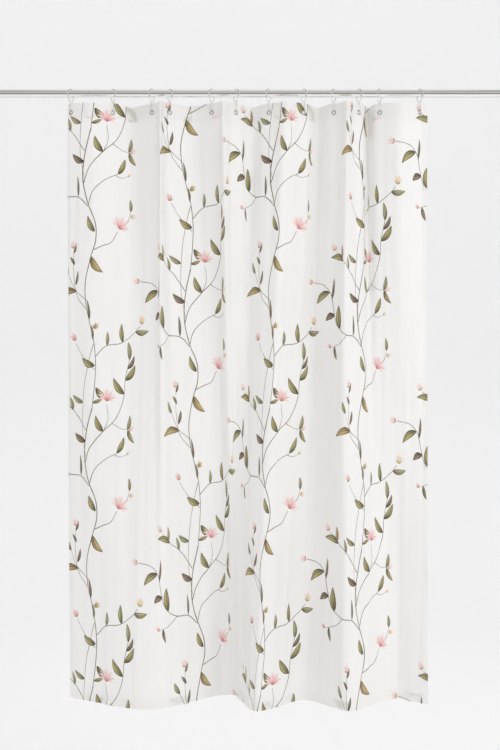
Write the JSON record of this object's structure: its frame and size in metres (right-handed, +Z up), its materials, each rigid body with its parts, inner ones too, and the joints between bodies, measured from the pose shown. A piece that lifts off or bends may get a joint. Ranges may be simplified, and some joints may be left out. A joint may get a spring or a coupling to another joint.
{
  "type": "shower curtain",
  "caption": "Shower curtain with a trailing floral print, hung by pear-shaped rings through metal eyelets from a twist-lock tension rod.",
  "frame": {"origin": "centre of the left foot's wall face, on the rod's axis", "axes": "+X along the rod from the left foot to the right foot as seen from the room, -Y towards the room, +Z up, cloth hanging in -Z"},
  "size_m": [1.8, 0.2283, 2.051],
  "materials": {
    "rod_steel": "satin",
    "foot_rubber": "matte",
    "foot_plastic": "satin",
    "lock_plastic": "matte",
    "eyelet_metal": "polished",
    "hook_wire": "polished",
    "cloth_hem": "matte",
    "cloth_print": "matte"
  },
  "bodies": {
    "rod": {"outer_tube": "rod_steel", "left_pad": "foot_rubber", "left_cup": "foot_plastic"},
    "lock_cam": {"lock_cam": "lock_plastic"},
    "rod_inner": {"inner_tube": "rod_steel", "lock_core": "lock_plastic", "right_pad": "foot_rubber", "right_cup": "foot_plastic"},
    "curtain": {"curtain_panel": "cloth_print", "top_hem": "cloth_hem", "bottom_hem": "cloth_hem", "left_side_hem": "cloth_hem", "right_side_hem": "cloth_hem"},
    "hook_12": {"hook_12": "hook_wire"},
    "hook_01": {"hook_01": "hook_wire"},
    "hook_02": {"hook_02": "hook_wire"},
    "hook_03": {"hook_03": "hook_wire"},
    "hook_04": {"hook_04": "hook_wire"},
    "hook_05": {"hook_05": "hook_wire"},
    "hook_06": {"hook_06": "hook_wire"},
    "hook_07": {"hook_07": "hook_wire"},
    "hook_08": {"hook_08": "hook_wire"},
    "hook_09": {"hook_09": "hook_wire"},
    "hook_10": {"hook_10": "hook_wire"},
    "hook_11": {"hook_11": "hook_wire"},
    "eyelet_01_pair": {"eyelet_front_01": "eyelet_metal", "eyelet_washer_01": "eyelet_metal"},
    "eyelet_02_pair": {"eyelet_front_02": "eyelet_metal", "eyelet_washer_02": "eyelet_metal"},
    "eyelet_03_pair": {"eyelet_front_03": "eyelet_metal", "eyelet_washer_03": "eyelet_metal"},
    "eyelet_04_pair": {"eyelet_front_04": "eyelet_metal", "eyelet_washer_04": "eyelet_metal"},
    "eyelet_05_pair": {"eyelet_front_05": "eyelet_metal", "eyelet_washer_05": "eyelet_metal"},
    "eyelet_06_pair": {"eyelet_front_06": "eyelet_metal", "eyelet_washer_06": "eyelet_metal"},
    "eyelet_07_pair": {"eyelet_front_07": "eyelet_metal", "eyelet_washer_07": "eyelet_metal"},
    "eyelet_08_pair": {"eyelet_front_08": "eyelet_metal", "eyelet_washer_08": "eyelet_metal"},
    "eyelet_09_pair": {"eyelet_front_09": "eyelet_metal", "eyelet_washer_09": "eyelet_metal"},
    "eyelet_10_pair": {"eyelet_front_10": "eyelet_metal", "eyelet_washer_10": "eyelet_metal"},
    "eyelet_11_pair": {"eyelet_front_11": "eyelet_metal", "eyelet_washer_11": "eyelet_metal"},
    "eyelet_12_pair": {"eyelet_front_12": "eyelet_metal", "eyelet_washer_12": "eyelet_metal"}
  },
  "joints": [
    {"name": "rod_extend", "type": "slide", "parent": "rod", "child": "lock_cam", "axis": [1, 0, 0], "range_m": [-0.012, 0.25]},
    {"name": "rod_twist", "type": "hinge", "parent": "lock_cam", "child": "rod_inner", "pos_m": [0.9, 0, 0], "axis": [1, 0, 0], "range_deg": [0, 20]},
    {"name": "curtain_swing", "type": "hinge", "parent": "rod", "child": "curtain", "pos_m": [0.9, 0, 0], "axis": [1, 0, 0], "range_deg": [-20, 20]},
    {"name": "curtain_draw", "type": "slide", "parent": "curtain", "child": "hook_12", "axis": [1, 0, 0], "range_m": [-0.843, 0], "deforming": ["curtain_panel", "top_hem", "bottom_hem", "left_side_hem", "right_side_hem"]},
    {"name": "hook_01_slide", "type": "slide", "parent": "curtain", "child": "hook_01", "axis": [1, 0, 0], "range_m": [-0.1463, 0]},
    {"name": "hook_02_slide", "type": "slide", "parent": "curtain", "child": "hook_02", "axis": [1, 0, 0], "range_m": [-0.2303, 0]},
    {"name": "hook_03_slide", "type": "slide", "parent": "curtain", "child": "hook_03", "axis": [1, 0, 0], "range_m": [-0.3083, 0]},
    {"name": "hook_04_slide", "type": "slide", "parent": "curtain", "child": "hook_04", "axis": [1, 0, 0], "range_m": [-0.3443, 0]},
    {"name": "hook_05_slide", "type": "slide", "parent": "curtain", "child": "hook_05", "axis": [1, 0, 0], "range_m": [-0.4277, 0]},
    {"name": "hook_06_slide", "type": "slide", "parent": "curtain", "child": "hook_06", "axis": [1, 0, 0], "range_m": [-0.4763, 0]},
    {"name": "hook_07_slide", "type": "slide", "parent": "curtain", "child": "hook_07", "axis": [1, 0, 0], "range_m": [-0.5417, 0]},
    {"name": "hook_08_slide", "type": "slide", "parent": "curtain", "child": "hook_08", "axis": [1, 0, 0], "range_m": [-0.6119, 0]},
    {"name": "hook_09_slide", "type": "slide", "parent": "curtain", "child": "hook_09", "axis": [1, 0, 0], "range_m": [-0.6719, 0]},
    {"name": "hook_10_slide", "type": "slide", "parent": "curtain", "child": "hook_10", "axis": [1, 0, 0], "range_m": [-0.7223, 0]},
    {"name": "hook_11_slide", "type": "slide", "parent": "curtain", "child": "hook_11", "axis": [1, 0, 0], "range_m": [-0.7637, 0]},
    {"name": "eyelet_01_turn", "type": "hinge", "parent": "hook_01", "child": "eyelet_01_pair", "pos_m": [0.303, 0, -0.063], "axis": [0, 0, 1], "range_deg": [-25.38, 0]},
    {"name": "eyelet_02_turn", "type": "hinge", "parent": "hook_02", "child": "eyelet_02_pair", "pos_m": [0.443, 0, -0.063], "axis": [0, 0, 1], "range_deg": [0, 25.38]},
    {"name": "eyelet_03_turn", "type": "hinge", "parent": "hook_03", "child": "eyelet_03_pair", "pos_m": [0.573, 0, -0.063], "axis": [0, 0, 1], "range_deg": [-25.38, 0]},
    {"name": "eyelet_04_turn", "type": "hinge", "parent": "hook_04", "child": "eyelet_04_pair", "pos_m": [0.633, 0, -0.063], "axis": [0, 0, 1], "range_deg": [0, 25.38]},
    {"name": "eyelet_05_turn", "type": "hinge", "parent": "hook_05", "child": "eyelet_05_pair", "pos_m": [0.772, 0, -0.063], "axis": [0, 0, 1], "range_deg": [-25.38, 0]},
    {"name": "eyelet_06_turn", "type": "hinge", "parent": "hook_06", "child": "eyelet_06_pair", "pos_m": [0.853, 0, -0.063], "axis": [0, 0, 1], "range_deg": [0, 25.38]},
    {"name": "eyelet_07_turn", "type": "hinge", "parent": "hook_07", "child": "eyelet_07_pair", "pos_m": [0.962, 0, -0.063], "axis": [0, 0, 1], "range_deg": [-25.38, 0]},
    {"name": "eyelet_08_turn", "type": "hinge", "parent": "hook_08", "child": "eyelet_08_pair", "pos_m": [1.079, 0, -0.063], "axis": [0, 0, 1], "range_deg": [0, 25.38]},
    {"name": "eyelet_09_turn", "type": "hinge", "parent": "hook_09", "child": "eyelet_09_pair", "pos_m": [1.179, 0, -0.063], "axis": [0, 0, 1], "range_deg": [-25.38, 0]},
    {"name": "eyelet_10_turn", "type": "hinge", "parent": "hook_10", "child": "eyelet_10_pair", "pos_m": [1.263, 0, -0.063], "axis": [0, 0, 1], "range_deg": [0, 25.38]},
    {"name": "eyelet_11_turn", "type": "hinge", "parent": "hook_11", "child": "eyelet_11_pair", "pos_m": [1.332, 0, -0.063], "axis": [0, 0, 1], "range_deg": [-25.38, 0]},
    {"name": "eyelet_12_turn", "type": "hinge", "parent": "hook_12", "child": "eyelet_12_pair", "pos_m": [1.465, 0, -0.063], "axis": [0, 0, 1], "range_deg": [0, 25.38]}
  ],
  "couplings": [
    {"joint": "hook_01_slide", "follows": "curtain_draw", "ratio": 0.17295},
    {"joint": "hook_02_slide", "follows": "curtain_draw", "ratio": 0.2726},
    {"joint": "hook_03_slide", "follows": "curtain_draw", "ratio": 0.36512},
    {"joint": "hook_04_slide", "follows": "curtain_draw", "ratio": 0.40783},
    {"joint": "hook_05_slide", "follows": "curtain_draw", "ratio": 0.50676},
    {"joint": "hook_06_slide", "follows": "curtain_draw", "ratio": 0.56441},
    {"joint": "hook_07_slide", "follows": "curtain_draw", "ratio": 0.64199},
    {"joint": "hook_08_slide", "follows": "curtain_draw", "ratio": 0.72527},
    {"joint": "hook_09_slide", "follows": "curtain_draw", "ratio": 0.79644},
    {"joint": "hook_10_slide", "follows": "curtain_draw", "ratio": 0.85623},
    {"joint": "hook_11_slide", "follows": "curtain_draw", "ratio": 0.90534},
    {"joint": "eyelet_01_turn", "follows": "curtain_draw", "rad_per_m": 0.52445},
    {"joint": "eyelet_02_turn", "follows": "curtain_draw", "rad_per_m": -0.52445},
    {"joint": "eyelet_03_turn", "follows": "curtain_draw", "rad_per_m": 0.52445},
    {"joint": "eyelet_04_turn", "follows": "curtain_draw", "rad_per_m": -0.52445},
    {"joint": "eyelet_05_turn", "follows": "curtain_draw", "rad_per_m": 0.52445},
    {"joint": "eyelet_06_turn", "follows": "curtain_draw", "rad_per_m": -0.52445},
    {"joint": "eyelet_07_turn", "follows": "curtain_draw", "rad_per_m": 0.52445},
    {"joint": "eyelet_08_turn", "follows": "curtain_draw", "rad_per_m": -0.52445},
    {"joint": "eyelet_09_turn", "follows": "curtain_draw", "rad_per_m": 0.52445},
    {"joint": "eyelet_10_turn", "follows": "curtain_draw", "rad_per_m": -0.52445},
    {"joint": "eyelet_11_turn", "follows": "curtain_draw", "rad_per_m": 0.52445},
    {"joint": "eyelet_12_turn", "follows": "curtain_draw", "rad_per_m": -0.52445}
  ]
}
